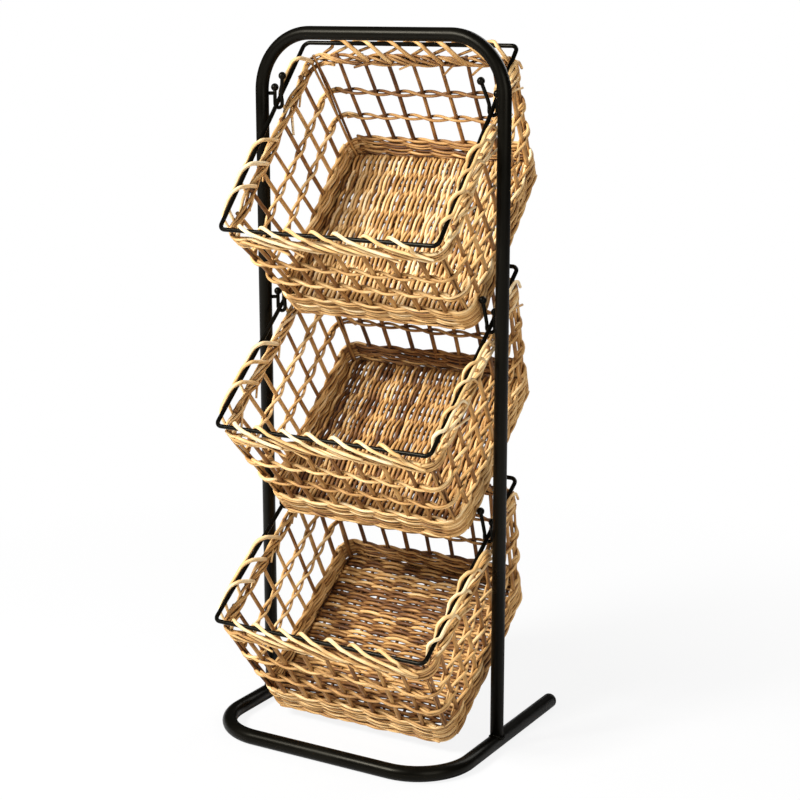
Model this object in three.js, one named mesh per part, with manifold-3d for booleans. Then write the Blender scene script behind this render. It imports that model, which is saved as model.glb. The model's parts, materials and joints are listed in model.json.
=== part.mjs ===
// A free-standing bread rack: a bent steel tube frame that carries three willow baskets on hooks.
// Millimetres, +Z up, the front faces -Y and the rack stands on z = 0.
import * as THREE from "three";
import { mergeVertices } from "three/addons/utils/BufferGeometryUtils.js";
import Module from "manifold-3d";

// Frame
const FRAME_WIDTH = 509; // between the centre lines of the uprights
const HEAD_ROOM = 135; // seats of the top hooks to the centre line of the top bar
const UPRIGHT_D = 25;
const BASE_D = 28.6;
const BEND_R = 107; // centre line of every bend in the frame
const BASE_FRONT = 218; // uprights to the front bar
const BASE_REAR = 222; // uprights to the cut end of each leg
const CAP_SKIRT = 4; // straight part of a leg's end cap
const CAP_DOME = 11;
const TUBE_SIDES = 12;

// Hooks
const HOOK_D = 6;
const HOOK_GAP = 10; // clear width between the two prongs
const HOOK_Y = 12; // the hooks sit behind the centre line of the uprights
const HOOK_SHORT = 34; // seat to the centre of the short prong's ball
const HOOK_TALL = 56; // seat to the centre of the tall prong's ball
const HOOK_REACH = 28.5; // centre line of an upright to the middle of a hook
const HOOK_LEAN_FRONT = 13;
const BALL_D = 14.5;
const PEG_HEIGHT = 23; // seat to the peg that carries the hook

// Baskets
const RIM_WIRE_D = 8;
const RIM_WIDTH = FRAME_WIDTH - 2 * HOOK_REACH; // the side wires lie in the hooks
const RIM_DEPTH = 434;
const RIM_CORNER_R = 12;
const BASKET_DEPTH = 261; // rim to the bottom edge, square to the rim
const SIDE_DRAW = 27.5; // how far a side wall's bottom edge is drawn in
const FLOOR_WIDTH = RIM_WIDTH - 2 * SIDE_DRAW;
const FLOOR_DEPTH = 360;
const FLOOR_SHIFT = -38; // the bottom sits towards the front of the rim
const POST_D = 17;
const STAKE_D = 6;
const STAKES = 7; // in each wall
const ROW_D = 5;
const ROWS = [0.4, 0.61]; // places of the woven rows down a wall
const BORDER_D = 16;
const BORDER_DROP = 30; // rim wire to the middle of the rolled border
const BAND_TOP = 0.8; // place of the top of the dense band down a wall
const BAND_COURSES = 5;
const BAND_BULGE = 1.6;
const WRAP_D = 4.5; // a stake's end laid over the rim wire
const WRAPS = {
  front: [-0.75, -0.375, 0, 0.375, 0.75],
  side: [-0.76, -0.415, -0.07, 0.62],
}; // shares of half a wall
const FLOOR_RISE = 24; // bottom edge to the tops of the floor's ridges
const FLOOR_RIDGES = 18;
const RIDGE = 3;
const GAP = 0.3; // clearance between neighbouring pieces

// Each basket: room for its tilt above the floor or the basket below, how far the tall balls of its
// hooks lean in, tilt of its rim, seats behind the middle of the rim, and thickness of its willow.
const BASKETS = {
  top: { room: 124, lean: 18, tilt: 48.3, setback: 68, wall: 3, band: 6, floor: 2, ridges: "depth" },
  middle: { room: 130.5, lean: 10, tilt: 41.2, setback: 68.3, wall: 4, band: 8, floor: 4.3, ridges: "depth" },
  bottom: { room: 138.5, lean: 10, tilt: 35.9, setback: 70.9, wall: 6, band: 11, floor: 9, ridges: "width" },
};

// The hook seats stack up from the floor, and the frame reaches over the top ones.
let stack = 0;
for (const gauge of [BASKETS.bottom, BASKETS.middle, BASKETS.top]) {
  stack += BASKET_DEPTH + gauge.room;
  gauge.seat = stack;
}
const FRAME_HEIGHT = BASKETS.top.seat + HEAD_ROOM; // floor to the centre line of the top bar

const STEEL = { color: 0x16150f, roughness: 0.42, metalness: 0.35 };
const CAP = { color: 0x121210, roughness: 0.55, metalness: 0 };
const WILLOW = { color: 0xc49a62, roughness: 0.62, metalness: 0 };
const WILLOW_DARK = { color: 0xa87a45, roughness: 0.66, metalness: 0 };

const wasm = await Module();
wasm.setup();

// A bent rod's centre line: points along it, with a ring of the rod at each.
class Route extends THREE.Curve {
  constructor(points) {
    super();
    this.points = points;
  }
  getPoint(t, target = new THREE.Vector3()) {
    const last = this.points.length - 1;
    const place = t * last;
    const i = Math.min(Math.floor(place), last - 1);
    return target.lerpVectors(this.points[i], this.points[i + 1], place - i);
  }
  getPointAt(u, target) {
    return this.getPoint(u, target);
  }
  getTangentAt(u, target = new THREE.Vector3()) {
    const last = this.points.length - 1;
    const i = Math.round(u * last);
    target.set(0, 0, 0);
    if (i > 0) target.add(this.points[i].clone().sub(this.points[i - 1]).normalize());
    if (i < last) target.add(this.points[i + 1].clone().sub(this.points[i]).normalize());
    return target.normalize();
  }
}

const at = (x, y, z) => new THREE.Vector3(x, y, z);
const mix = THREE.MathUtils.lerp;

// Straight runs between the corners, with each corner bent to the radius in so many steps.
function bend(corners, radius, steps) {
  const points = [corners[0]];
  for (let i = 1; i < corners.length - 1; i++) {
    const back = corners[i - 1].clone().sub(corners[i]).normalize();
    const on = corners[i + 1].clone().sub(corners[i]).normalize();
    const half = back.angleTo(on) / 2;
    const middle = back.clone().add(on).normalize();
    const centre = corners[i].clone().addScaledVector(middle, radius / Math.sin(half));
    const start = corners[i].clone().addScaledVector(back, radius / Math.tan(half)).sub(centre);
    const axis = back.clone().cross(on).normalize();
    for (let k = 0; k <= steps; k++) {
      const turn = (-(Math.PI - 2 * half) * k) / steps;
      points.push(start.clone().applyAxisAngle(axis, turn).add(centre));
    }
  }
  points.push(corners.at(-1));
  return points;
}

// A regular section with a flat to each side, whose flats lie at the rod's radius.
function section(diameter, sides) {
  const radius = diameter / 2 / Math.cos(Math.PI / sides);
  const corners = [];
  for (let k = 0; k < sides; k++) {
    const angle = ((k + 0.5) * 2 * Math.PI) / sides;
    corners.push(new THREE.Vector2(radius * Math.cos(angle), radius * Math.sin(angle)));
  }
  return new THREE.Shape(corners);
}

function rod(points, diameter, sides) {
  return new THREE.ExtrudeGeometry(section(diameter, sides), {
    steps: points.length - 1,
    extrudePath: new Route(points),
  });
}

// A flat outline of the given thickness, in the middle of its plane.
function plate(shape, thickness) {
  const geometry = new THREE.ExtrudeGeometry(shape, { depth: thickness, bevelEnabled: false });
  return geometry.translate(0, 0, -thickness / 2);
}

function outline(points) {
  return new THREE.Shape(points.map(([x, y]) => new THREE.Vector2(x, y)));
}

function solid(geometry) {
  const bare = geometry.clone();
  bare.deleteAttribute("normal");
  bare.deleteAttribute("uv");
  const merged = mergeVertices(bare, 1e-4);
  return new wasm.Manifold(
    new wasm.Mesh({
      numProp: 3,
      vertProperties: merged.attributes.position.array,
      triVerts: new Uint32Array(merged.index.array),
    }),
  );
}

function surface(body) {
  const mesh = body.getMesh();
  const geometry = new THREE.BufferGeometry();
  geometry.setAttribute("position", new THREE.BufferAttribute(mesh.vertProperties, 3));
  geometry.setIndex(new THREE.BufferAttribute(mesh.triVerts, 1));
  geometry.computeVertexNormals();
  return geometry;
}

const join = (bodies) => surface(bodies.reduce((a, b) => a.add(b)));

function piece(name, geometry, look) {
  const mesh = new THREE.Mesh(geometry, new THREE.MeshStandardMaterial(look));
  mesh.name = name;
  return mesh;
}

// The base lies on the floor: a front bar and two legs that run back past the uprights.
function makeBase() {
  const x = FRAME_WIDTH / 2;
  const z = BASE_D / 2;
  const corners = [
    at(x, BASE_REAR, z),
    at(x, -BASE_FRONT, z),
    at(-x, -BASE_FRONT, z),
    at(-x, BASE_REAR, z),
  ];
  return piece("base_tube", rod(bend(corners, BEND_R, 7), BASE_D, TUBE_SIDES), STEEL);
}

function makeCap(name, side) {
  const r = BASE_D / 2 - 0.2;
  const profile = [new THREE.Vector2(0, 0), new THREE.Vector2(r, 0)];
  for (let k = 0; k <= 4; k++) {
    const angle = (k * Math.PI) / 8;
    const radius = k === 4 ? 0 : r * Math.cos(angle);
    profile.push(new THREE.Vector2(radius, CAP_SKIRT + CAP_DOME * Math.sin(angle)));
  }
  const cap = piece(name, new THREE.LatheGeometry(profile, 16), CAP);
  cap.position.set((side * FRAME_WIDTH) / 2, BASE_REAR + GAP, BASE_D / 2);
  return cap;
}

// One tube makes both uprights and the top bar; its feet are cut to saddle the base legs.
function makeUpright() {
  const x = FRAME_WIDTH / 2;
  const corners = [
    at(-x, 0, BASE_D / 2),
    at(-x, 0, FRAME_HEIGHT),
    at(x, 0, FRAME_HEIGHT),
    at(x, 0, BASE_D / 2),
  ];
  let tube = solid(rod(bend(corners, BEND_R, 7), UPRIGHT_D, TUBE_SIDES));
  for (const side of [-1, 1]) {
    const leg = [at(side * x, -UPRIGHT_D, BASE_D / 2), at(side * x, UPRIGHT_D, BASE_D / 2)];
    tube = tube.subtract(solid(rod(leg, BASE_D + 2 * GAP, TUBE_SIDES)));
  }
  return piece("upright_tube", surface(tube), STEEL);
}

// A hook: a bent rod with a ball on each end, carried by a peg on the inner face of an upright.
// Its seat is the top of the low bend, which the rim wire of a basket lies across.
function makeHook(name, side, { seat, lean }) {
  const middle = RIM_WIDTH / 2;
  const half = (HOOK_GAP + HOOK_D) / 2;
  const low = seat - HOOK_D / 2;
  const low_bend = [];
  for (let k = 0; k <= 8; k++) {
    const angle = Math.PI + (k * Math.PI) / 8;
    low_bend.push(at(middle - half * Math.cos(angle), HOOK_Y, low + half + half * Math.sin(angle)));
  }
  const knee = low + half + 9;
  const tall = at(middle - lean, HOOK_Y - HOOK_LEAN_FRONT, seat + HOOK_TALL);
  const points = [
    at(middle + half, HOOK_Y, seat + HOOK_SHORT),
    ...low_bend,
    at(middle - half, HOOK_Y, knee),
    tall,
  ];
  const ball = new THREE.SphereGeometry(BALL_D / 2, 10, 6).rotateX(Math.PI / 2);
  const balls = [points[0], tall].map((end) => ball.clone().translate(end.x, end.y, end.z));
  const axis = FRAME_WIDTH / 2;
  const peg = [at(middle + half, HOOK_Y, seat + PEG_HEIGHT), at(axis, 0, seat + PEG_HEIGHT)];
  const upright = [at(axis, 0, seat - HOOK_TALL), at(axis, 0, seat + HOOK_TALL)];
  const cut_peg = solid(rod(peg, HOOK_D, 6)).subtract(
    solid(rod(upright, UPRIGHT_D + 2 * GAP, TUBE_SIDES)),
  );
  const body = join([cut_peg, ...[rod(points, HOOK_D, 6), ...balls].map(solid)]);
  if (side < 0) {
    const mirrored = piece(name, body, STEEL);
    mirrored.scale.x = -1;
    return mirrored;
  }
  return piece(name, body, STEEL);
}

// The rim wire is bent round to a rectangle and butted in the middle of the back.
function makeRim() {
  const x = RIM_WIDTH / 2;
  const y = RIM_DEPTH / 2;
  const corners = [
    at(GAP / 2, y, 0),
    at(x, y, 0),
    at(x, -y, 0),
    at(-x, -y, 0),
    at(-x, y, 0),
    at(-GAP / 2, y, 0),
  ];
  return rod(bend(corners, RIM_CORNER_R, 4), RIM_WIRE_D, 6);
}

// The four walls by side: the way along the wall, seen from outside, half its top edge,
// the two ends of its bottom edge and how far the bottom edge is drawn in.
function wallPlans() {
  const front = FLOOR_SHIFT - FLOOR_DEPTH / 2;
  const back = FLOOR_SHIFT + FLOOR_DEPTH / 2;
  const half = FLOOR_WIDTH / 2;
  return {
    front: { turn: 0, edge: RIM_DEPTH / 2, top: RIM_WIDTH / 2, low: [-half, half], drawn: RIM_DEPTH / 2 + front },
    right: { turn: 1, edge: RIM_WIDTH / 2, top: RIM_DEPTH / 2, low: [front, back], drawn: SIDE_DRAW },
    back: { turn: 2, edge: RIM_DEPTH / 2, top: RIM_WIDTH / 2, low: [-half, half], drawn: RIM_DEPTH / 2 - back },
    left: { turn: 3, edge: RIM_WIDTH / 2, top: RIM_DEPTH / 2, low: [-back, -front], drawn: SIDE_DRAW },
  };
}

// An open wall, drawn flat with the rim wire's line on y = 0: stakes, two woven rows,
// the rolled border, the dense band and the stake ends that lie over the wire.
function makeWall(plan, gauge, wraps) {
  const slope = Math.hypot(BASKET_DEPTH, plan.drawn);
  const clear = POST_D / 2 + GAP + 0.1;
  const left_clear = clear * Math.hypot(1, (plan.low[0] + plan.top) / slope);
  const right_clear = clear * Math.hypot(1, (plan.low[1] - plan.top) / slope);
  const left = (down) => mix(-plan.top, plan.low[0], down / slope) + left_clear;
  const right = (down) => mix(plan.top, plan.low[1], down / slope) - right_clear;
  const across = (share, down) => mix(left(down), right(down), share);
  const band_top = BAND_TOP * slope;

  const net_top = BORDER_DROP + 3;
  const net_low = slope - 2;
  const sheet = outline([
    [left(net_top), -net_top],
    [left(net_low), -net_low],
    [right(net_low), -net_low],
    [right(net_top), -net_top],
  ]);
  let net = solid(plate(sheet, gauge.wall));
  const rows = [BORDER_DROP + 4, ROWS[0] * slope, ROWS[1] * slope, band_top + 3];
  for (let r = 0; r < rows.length - 1; r++) {
    const high = rows[r] + ROW_D / 2;
    const low = rows[r + 1] - ROW_D / 2;
    for (let k = 0; k <= STAKES; k++) {
      const from = (down) => across(k / (STAKES + 1), down) + STAKE_D / 2;
      const to = (down) => across((k + 1) / (STAKES + 1), down) - STAKE_D / 2;
      const hole = outline([
        [from(high), -high],
        [from(low), -low],
        [to(low), -low],
        [to(high), -high],
      ]);
      net = net.subtract(solid(plate(hole, 2 * gauge.wall)));
    }
  }

  const course = (slope - band_top) / BAND_COURSES;
  const outer = [];
  const inner = [];
  for (let k = 0; k <= 2 * BAND_COURSES; k++) {
    const out = gauge.band / 2 - (k % 2 ? 0 : BAND_BULGE);
    const down = -band_top - (k * course) / 2;
    outer.push([out, down]);
    inner.unshift([-out, down]);
  }
  const length = right(slope) - left(slope) - 1;
  const band = plate(outline([...outer, ...inner]), length).rotateY(-Math.PI / 2);
  band.translate((left(slope) + right(slope)) / 2, 0, 0);

  const border_low = BORDER_DROP + 0.7 * BORDER_D;
  const border = rod(
    [at(left(border_low), -BORDER_DROP, 0), at(right(border_low), -BORDER_DROP, 0)],
    BORDER_D,
    8,
  );

  const bore = RIM_WIRE_D / 2 / Math.cos(Math.PI / 6) + GAP + 0.2;
  const wrap_end = BORDER_DROP - 1;
  const loops = wraps.map((place) => {
    const arch = [];
    for (let k = 0; k <= 4; k++) {
      const angle = (k * Math.PI) / 4;
      const reach = bore + WRAP_D;
      arch.push([reach * Math.cos(angle), reach * Math.sin(angle)]);
    }
    arch.push([-bore - WRAP_D, -wrap_end], [-bore, -wrap_end]);
    for (let k = 4; k >= 0; k--) {
      const angle = (k * Math.PI) / 4;
      const reach = bore / Math.cos(Math.PI / 8);
      arch.push([reach * Math.cos(angle), reach * Math.sin(angle)]);
    }
    arch.push([bore, -wrap_end], [bore + WRAP_D, -wrap_end]);
    return plate(outline(arch), STAKE_D).rotateY(-Math.PI / 2).translate(place * plan.top, 0, 0);
  });

  const wall = join([net, ...[band, border, ...loops].map(solid)]);
  const lean = Math.atan2(plan.drawn, BASKET_DEPTH);
  wall.rotateX(Math.PI / 2 + lean);
  wall.translate(0, -plan.edge, 0);
  return wall.rotateZ((plan.turn * Math.PI) / 2);
}

// A bundle of stakes in a corner, from under the rim wire to the bottom edge.
function makePost(x_side, y_side) {
  const rim = at((x_side * RIM_WIDTH) / 2, (y_side * RIM_DEPTH) / 2, 0);
  const low = at((x_side * FLOOR_WIDTH) / 2, FLOOR_SHIFT + (y_side * FLOOR_DEPTH) / 2, -BASKET_DEPTH);
  const from = rim.clone().lerp(low, 15 / BASKET_DEPTH);
  return rod([from, low], POST_D, 8);
}

// The floor is woven in ridges and fits inside the bands, clear of the corner posts.
function makeFloor(gauge) {
  const inside = gauge.band / 2 + GAP + 0.05;
  const under = FLOOR_RISE - RIDGE - gauge.floor;
  const reach = (half, drawn) => {
    const lean = drawn / BASKET_DEPTH;
    return half + Math.min(under * lean, FLOOR_RISE * lean) - inside * Math.hypot(1, lean);
  };
  const plans = wallPlans();
  const x = reach(FLOOR_WIDTH / 2, SIDE_DRAW);
  const front = -reach(FLOOR_DEPTH / 2, plans.front.drawn);
  const back = reach(FLOOR_DEPTH / 2, plans.back.drawn);
  const cut = POST_D / 2;
  const flat = plate(
    outline([
      [-x + cut, front],
      [x - cut, front],
      [x, front + cut],
      [x, back - cut],
      [x - cut, back],
      [-x + cut, back],
      [-x, back - cut],
      [-x, front + cut],
    ]),
    4 * gauge.floor + 4 * RIDGE,
  );
  const along = gauge.ridges === "depth";
  const [from, to] = along ? [-x, x] : [front, back];
  const upper = [];
  const lower = [];
  for (let k = 0; k <= 2 * FLOOR_RIDGES; k++) {
    const place = mix(from, to, k / (2 * FLOOR_RIDGES));
    const rise = k % 2 ? RIDGE / 2 : -RIDGE / 2;
    upper.unshift([place, gauge.floor / 2 + rise]);
    lower.push([place, -gauge.floor / 2 + rise]);
  }
  const length = along ? back - front : 2 * x;
  const ridged = plate(outline([...lower, ...upper]), length + 2).rotateX(Math.PI / 2);
  if (along) ridged.translate(0, (front + back) / 2, 0);
  else ridged.rotateZ(Math.PI / 2);
  const body = solid(ridged).intersect(solid(flat));
  const rise = FLOOR_RISE - (RIDGE + gauge.floor) / 2;
  return surface(body).translate(0, FLOOR_SHIFT, -BASKET_DEPTH + rise);
}

function makeBasket(name, gauge) {
  const basket = new THREE.Group();
  basket.add(piece(`${name}_rim_wire`, makeRim(), STEEL));
  for (const [side, plan] of Object.entries(wallPlans())) {
    let places = WRAPS.front;
    if (side === "right") places = WRAPS.side;
    if (side === "left") places = WRAPS.side.map((place) => -place);
    basket.add(piece(`${name}_wall_${side}`, makeWall(plan, gauge, places), WILLOW));
  }
  for (const [x_name, x_side] of [["left", -1], ["right", 1]]) {
    for (const [y_name, y_side] of [["front", -1], ["back", 1]]) {
      basket.add(piece(`${name}_post_${y_name}_${x_name}`, makePost(x_side, y_side), WILLOW_DARK));
    }
  }
  basket.add(piece(`${name}_floor`, makeFloor(gauge), WILLOW));

  // The basket swings about the low bend of its hooks, which the rim wire rides round.
  const tilt = THREE.MathUtils.degToRad(gauge.tilt);
  const ride = HOOK_D / 2 / Math.cos(Math.PI / 6) + RIM_WIRE_D / 2 / Math.cos(Math.PI / 6) + GAP;
  const middle = at(0, -gauge.setback, ride).applyAxisAngle(at(1, 0, 0), tilt);
  basket.rotation.x = tilt;
  basket.position.set(0, HOOK_Y, gauge.seat - HOOK_D / 2).add(middle);
  return basket;
}

const rack = new THREE.Group();
rack.add(makeBase(), makeCap("leg_cap_left", -1), makeCap("leg_cap_right", 1), makeUpright());
for (const [name, gauge] of Object.entries(BASKETS)) {
  rack.add(makeHook(`${name}_hook_left`, -1, gauge), makeHook(`${name}_hook_right`, 1, gauge));
  rack.add(makeBasket(name, gauge));
}

// The origin is on the floor, in the middle of the rack's outline seen from above.
rack.updateMatrixWorld(true);
const box = new THREE.Box3().setFromObject(rack, true);
rack.position.y = -(box.min.y + box.max.y) / 2;

export default rack;
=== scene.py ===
"""Bread rack: a bent black steel frame whose hooks carry three tilted willow baskets.

Lengths are written in millimetres, as in the drawing of the part, and turned into metres when a
mesh is made. Materials, lamps and the floor are in metres. -Y is the front, +Z is up and the rack
stands on z = 0. The tone of a willow rod runs from 0 for dark to 1 for light.
"""

import json
import logging
import math
import random
from collections.abc import Callable, Sequence
from dataclasses import dataclass, replace
from enum import Enum

import bmesh
import bpy
from mathutils import Matrix, Vector


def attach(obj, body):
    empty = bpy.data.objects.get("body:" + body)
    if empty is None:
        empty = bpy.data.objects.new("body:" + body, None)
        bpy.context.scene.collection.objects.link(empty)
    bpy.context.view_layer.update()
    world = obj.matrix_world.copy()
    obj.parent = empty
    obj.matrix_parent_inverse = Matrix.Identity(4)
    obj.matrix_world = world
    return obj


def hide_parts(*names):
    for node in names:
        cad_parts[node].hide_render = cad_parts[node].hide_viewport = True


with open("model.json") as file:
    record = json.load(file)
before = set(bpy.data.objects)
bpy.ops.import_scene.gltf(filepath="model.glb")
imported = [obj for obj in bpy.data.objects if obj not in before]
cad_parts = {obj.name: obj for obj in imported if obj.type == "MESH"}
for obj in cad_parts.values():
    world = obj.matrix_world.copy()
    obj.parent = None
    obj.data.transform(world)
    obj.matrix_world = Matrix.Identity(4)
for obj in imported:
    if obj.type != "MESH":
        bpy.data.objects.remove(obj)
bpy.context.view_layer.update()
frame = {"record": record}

log = logging.getLogger("bread_rack")

Triple = tuple[float, float, float]
Value = float | bpy.types.NodeSocket

MM = 0.001
ROD_LAYER = "rod"
SIDES = (("left", -1), ("right", 1))
ENDS = (("front", -1), ("back", 1))
TUBE_STEPS = 28
TUBE_SIDES = 36

# Turned square to a rod's start, this gives the first corner of its section
FIRST_NORMAL = (0.31, 0.17, 0.94)

# The slow wander of a rod: two waves of random start and length
WAVE_START = 6.28
LONG_WAVE = (55, 95)
SHORT_WAVE = (23, 37)


class Body(str, Enum):
    """The rigid bodies of the part."""

    FRAME = "frame"
    TOP = "top_basket"
    MIDDLE = "middle_basket"
    BOTTOM = "bottom_basket"


class Slot(str, Enum):
    """The record's material slots."""

    STEEL = "black_steel"
    CAPS = "leg_caps"
    WILLOW = "willow"
    POSTS = "willow_posts"


class Weave(str, Enum):
    """The way that the weavers of a basket's floor run."""

    FRONT_TO_BACK = "front_to_back"
    LEFT_TO_RIGHT = "left_to_right"


@dataclass(frozen=True)
class HookSizes:
    """A hook: a rod bent to a U, with a ball on each end and a peg on the upright.

    Attributes:
        rod_r: Radius of the rod.
        half: Half of the U's width.
        short: Height of the outer end over the low bend.
        tall: Height of the inner end over the low bend.
        lean_front: How far the inner end leans to the front.
        ball_r: Radius of the balls.
        peg_height: Height of the peg.
        behind: The hook's distance behind the uprights.
        sides: Sides of the rod's section.
    """

    rod_r: float = 3.5
    half: float = 8.0
    short: float = 34.0
    tall: float = 56.0
    lean_front: float = 13.0
    ball_r: float = 7.25
    peg_height: float = 23.0
    behind: float = 12.0
    sides: int = 14


@dataclass(frozen=True)
class RimSizes:
    """A rim wire, bent to a rectangle.

    Attributes:
        wire_r: Radius of the wire.
        width: Width between the wire's middle lines.
        depth: Depth between them.
        corner_r: Radius of the corners.
        sides: Sides of the wire's section.
    """

    wire_r: float = 4.0
    width: float = 452.0
    depth: float = 434.0
    corner_r: float = 12.0
    sides: int = 16


@dataclass(frozen=True)
class SteelFinish:
    """A powder coat on steel, or moulded plastic that looks like one.

    Attributes:
        name: Material name.
        color: Linear base colour.
        roughness: Mean roughness.
        grain: Strength of the fine orange peel.
        peel_depth: Depth of the orange peel.
        specular: Level of the reflections.
        tint: Colour of the reflections.
    """

    name: str
    color: Triple
    roughness: float
    grain: float
    peel_depth: float = 0.0004
    specular: float = 0.085
    tint: Triple = (1.0, 0.93, 0.74)


@dataclass(frozen=True)
class WillowFinish:
    """Buff willow, from the darkest rod to the lightest.

    Attributes:
        name: Material name.
        stops: Places and linear colours of the tone ramp.
        roughness: Mean roughness.
        streak: Change of tone by the streaks along a rod.
        streak_gloss: Change of roughness by the streaks.
        patch: Change of tone from place to place.
        crevice_reach: Distance within which rods paint shade on each other.
        painted_crevice_shade: Painted shade: tone lost deep between rods.
        bump: Strength of the grain's relief.
        bump_depth: Depth of the grain's relief.
        specular: Level of the reflections.
        coat: Weight of the thin wax.
        coat_roughness: Roughness of the thin wax.
    """

    name: str
    stops: tuple[tuple[float, Triple], ...]
    roughness: float = 0.54
    streak: float = 0.85
    streak_gloss: float = -0.35
    patch: float = 0.5
    crevice_reach: float = 0.014
    painted_crevice_shade: float = 0.52
    bump: float = 0.35
    bump_depth: float = 0.0006
    specular: float = 0.35
    coat: float = 0.02
    coat_roughness: float = 0.35


@dataclass(frozen=True)
class RodStyle:
    """How the rods of one kind of work vary.

    Attributes:
        thin: Least radius.
        thick: Largest radius.
        tone: Mean tone.
        spread: How far a rod's tone may depart from it.
        taper: Share of the radius that a rod loses along its length.
        wander: How far a rod strays from its line.
    """

    thin: float
    thick: float
    tone: float = 0.5
    spread: float = 0.14
    taper: float = 0.0
    wander: float = 0.0


@dataclass(frozen=True)
class BasketPlan:
    """One basket's place and weave.

    Attributes:
        name: Prefix of the basket's nodes.
        body: The body that it rides on.
        tilt: Tilt of the rim in degrees.
        setback: Hook seats behind the middle of the rim.
        lean: How far the tall balls of its hooks lean in.
        weave: Direction of the floor's weavers.
        shade: Added to the tone of every rod.
        floor_tone: Tone of the floor's weavers, lower in the middle and bottom baskets as painted
            shade inside them.
        seed: Seed of the rods' variation.
    """

    name: str
    body: Body
    tilt: float
    setback: float
    lean: float
    weave: Weave
    shade: float
    floor_tone: float
    seed: int


@dataclass(frozen=True)
class WallPlan:
    """One wall of a basket, in a plane that leans from the rim to the floor.

    Attributes:
        name: Side of the basket.
        turn: Quarter turns from the front.
        edge: Middle of the rim to the wall's top edge.
        top: Half of the top edge.
        low: Both ends of the bottom edge.
        drawn: How far the bottom edge is drawn in.
        depth: Depth of the basket.
        shade: Added to the tone of the wall's rods; painted shade on the back wall.
    """

    name: str
    turn: int
    edge: float
    top: float
    low: tuple[float, float]
    drawn: float
    depth: float
    shade: float = 0.0

    @property
    def slope(self) -> float:
        """Length of the wall down its slope."""
        return math.hypot(self.depth, self.drawn)

    def end(self, side: int, down: float) -> float:
        """Place along the wall of its left (0) or right (1) end, at a distance down the slope."""
        start = (-self.top, self.top)[side]
        return start + (self.low[side] - start) * down / self.slope

    def across(self, share: float, down: float) -> float:
        """Place at a share of the wall's width, at a distance down the slope."""
        left = self.end(0, down)
        return left + (self.end(1, down) - left) * share

    def point(self, along: float, down: float, out: float) -> Vector:
        """Turns wall coordinates into basket coordinates.

        Args:
            along: Place along the wall, seen from outside.
            down: Distance down the slope from the rim wire's line.
            out: Distance outwards from the wall's middle plane.

        Returns:
            The point in the basket's own frame.
        """
        lean = math.atan2(self.drawn, self.depth)
        flat = Vector(
            (
                along,
                -self.edge + down * math.sin(lean) - out * math.cos(lean),
                -down * math.cos(lean) - out * math.sin(lean),
            )
        )
        return Matrix.Rotation(self.turn * math.pi / 2, 3, "Z") @ flat


HOOK = HookSizes()
RIM = RimSizes()

STEEL = SteelFinish("black_powder_coat", (0.0022, 0.0019, 0.0013), 0.31, 0.05)
CAP_FINISH = SteelFinish("black_cap", (0.010, 0.010, 0.009), 0.5, 0.09)
WILLOW = WillowFinish(
    "buff_willow",
    (
        (0.0, (0.06, 0.02, 0.005)),
        (0.3, (0.235, 0.095, 0.022)),
        (0.55, (0.585, 0.316, 0.098)),
        (0.8, (0.845, 0.555, 0.24)),
        (1.0, (0.94, 0.75, 0.46)),
    ),
)

STAKE = RodStyle(3.5, 4.2, tone=0.27, taper=-0.12, wander=1.1)
ROW = RodStyle(2.9, 3.5, taper=0.15, wander=1.2)
COURSE = tuple(
    RodStyle(2.8, 3.7, tone=tone, spread=0.2, taper=0.2, wander=1.3) for tone in (0.58, 0.46)
)
FOOT = RodStyle(2.7, 3.3, spread=0.16, wander=1.4)
BORDER = RodStyle(2.5, 3.3, tone=0.56, spread=0.2, wander=3.2)
WRAP = RodStyle(3.9, 4.9, tone=0.72, spread=0.16, taper=0.36)
LOOSE_END = RodStyle(2.3, 3.0, tone=0.6, spread=0.2, taper=0.15)
CORNER_TURN = RodStyle(2.6, 3.4, spread=0.18)
POST = RodStyle(2.4, 3.0, tone=0.27, wander=2.0)
STICK = RodStyle(3.0, 3.6, tone=0.24, wander=1.5)
WEAVER = RodStyle(3.5, 4.3, spread=0.29, taper=0.1, wander=1.8)

# The lower floor tones of the middle and bottom baskets are painted shade inside them
BASKETS = (
    BasketPlan(
        name="top",
        body=Body.TOP,
        tilt=48.3,
        setback=68.0,
        lean=18.0,
        weave=Weave.FRONT_TO_BACK,
        shade=0.16,
        floor_tone=0.5,
        seed=11,
    ),
    BasketPlan(
        name="middle",
        body=Body.MIDDLE,
        tilt=41.2,
        setback=68.3,
        lean=10.0,
        weave=Weave.FRONT_TO_BACK,
        shade=0.15,
        floor_tone=0.31,
        seed=23,
    ),
    BasketPlan(
        name="bottom",
        body=Body.BOTTOM,
        tilt=35.9,
        setback=70.9,
        lean=10.0,
        weave=Weave.LEFT_TO_RIGHT,
        shade=0.13,
        floor_tone=0.32,
        seed=37,
    ),
)


def spaced(start: float, stop: float, steps: int) -> list[float]:
    """Even places from a start to a stop, both included."""
    return [start + (stop - start) * i / steps for i in range(steps + 1)]


def bend(corners: Sequence[Vector], radius: float, steps: int) -> list[Vector]:
    """Bends each inner corner of a route to a radius.

    Args:
        corners: Ends and corners of the route.
        radius: Radius of every bend.
        steps: Steps in a bend.

    Returns:
        Points along the route.
    """
    points = [corners[0].copy()]
    for before, corner, after in zip(corners, corners[1:], corners[2:]):
        back = (before - corner).normalized()
        onward = (after - corner).normalized()
        half = back.angle(onward) / 2
        centre = corner + (back + onward).normalized() * radius / math.sin(half)
        start = corner + back * radius / math.tan(half) - centre
        axis = back.cross(onward)
        for k in range(steps + 1):
            turn = Matrix.Rotation(-(math.pi - 2 * half) * k / steps, 3, axis)
            points.append(turn @ start + centre)
    points.append(corners[-1].copy())
    return points


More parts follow.
